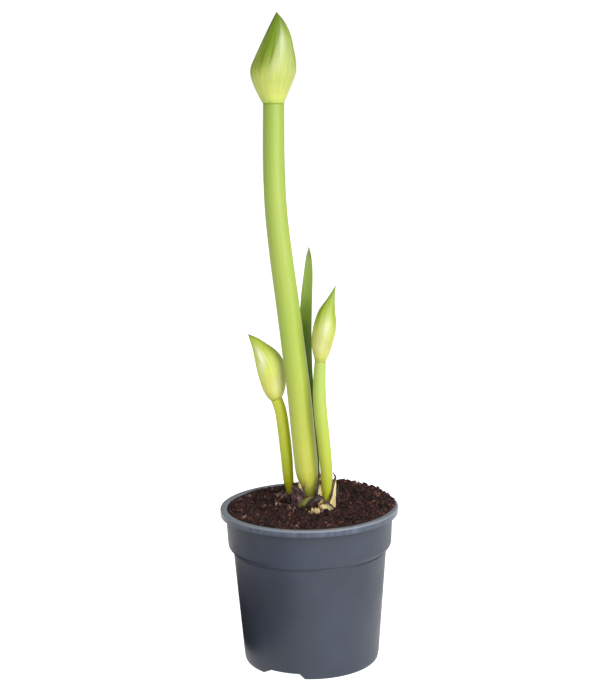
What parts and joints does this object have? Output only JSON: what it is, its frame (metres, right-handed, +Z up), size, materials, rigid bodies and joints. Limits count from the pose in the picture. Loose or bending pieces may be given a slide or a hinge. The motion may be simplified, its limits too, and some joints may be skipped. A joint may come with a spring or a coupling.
{
  "type": "potted amaryllis",
  "caption": "Amaryllis bulb in a round nursery pot of soil, with flower stems in bud and a strap leaf.",
  "frame": {"origin": "on the ground under the centre of the pot's rim", "axes": "+Z up along the pot's axis, -Y towards the front of the plant"},
  "size_m": [0.13, 0.13, 0.4672],
  "materials": {
    "pot": "satin moulded polypropylene, blue-grey",
    "soil": "crumbly dark peat",
    "bulb_flesh": "moist cream bulb scales",
    "tunic": "dry papery brown skin",
    "stem": "smooth waxy green",
    "bud": "waxy yellow-green with darker tips",
    "leaf": "waxy mid green"
  },
  "bodies": {
    "root": {"pot": "pot", "soil": "soil", "bulb": "bulb_flesh", "bulb_tunic": "tunic", "flower_stem_main": "stem", "flower_stem_left": "stem", "flower_stem_right": "stem", "flower_bud_main": "bud", "flower_bud_left": "bud", "flower_bud_right": "bud", "leaf": "leaf"}
  },
  "joints": []
}
